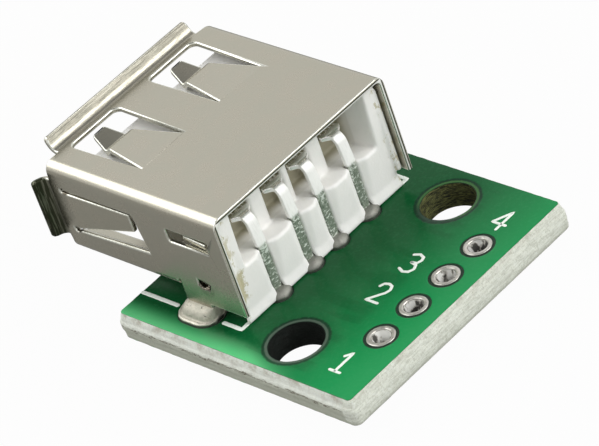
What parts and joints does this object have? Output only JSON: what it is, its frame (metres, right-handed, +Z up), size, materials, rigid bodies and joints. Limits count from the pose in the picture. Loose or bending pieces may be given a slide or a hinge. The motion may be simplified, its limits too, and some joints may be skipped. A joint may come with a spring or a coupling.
{
  "type": "usb-a breakout board",
  "caption": "Small green circuit board carrying a metal-shelled socket for a flat plug, with a row of plated pin holes and a pair of screw holes behind it.",
  "frame": {"origin": "midway between the two screw holes, on the underside of the board", "axes": "+Z up through the board towards the socket, +Y from the socket's mouth towards the row of pin holes, +X along that row"},
  "size_m": [0.0172, 0.0224, 0.0104],
  "materials": {
    "laminate": "snapped glass-fibre edge",
    "green_mask": "glossy lacquer",
    "white_ink": "printed ink",
    "tinned_steel": "dull tinned sheet",
    "white_moulding": "moulded",
    "tinned_copper": "tinned",
    "tinned_bronze": "bright tinned strip",
    "solder": "reflowed solder"
  },
  "bodies": {
    "root": {"pcb_core": "laminate", "solder_mask_top": "green_mask", "solder_mask_bottom": "green_mask", "printed_outline": "white_ink", "shell": "tinned_steel", "insulator": "white_moulding", "header_pad_1": "tinned_copper", "header_pad_2": "tinned_copper", "header_pad_3": "tinned_copper", "header_pad_4": "tinned_copper", "contact_pad_1": "tinned_copper", "contact_1": "tinned_bronze", "contact_solder_1": "solder", "contact_pad_2": "tinned_copper", "contact_2": "tinned_bronze", "contact_solder_2": "solder", "contact_pad_3": "tinned_copper", "contact_3": "tinned_bronze", "contact_solder_3": "solder", "contact_pad_4": "tinned_copper", "contact_4": "tinned_bronze", "contact_solder_4": "solder", "leg_pad_left": "tinned_copper", "leg_solder_left": "solder", "leg_pad_right": "tinned_copper", "leg_solder_right": "solder"}
  },
  "joints": []
}
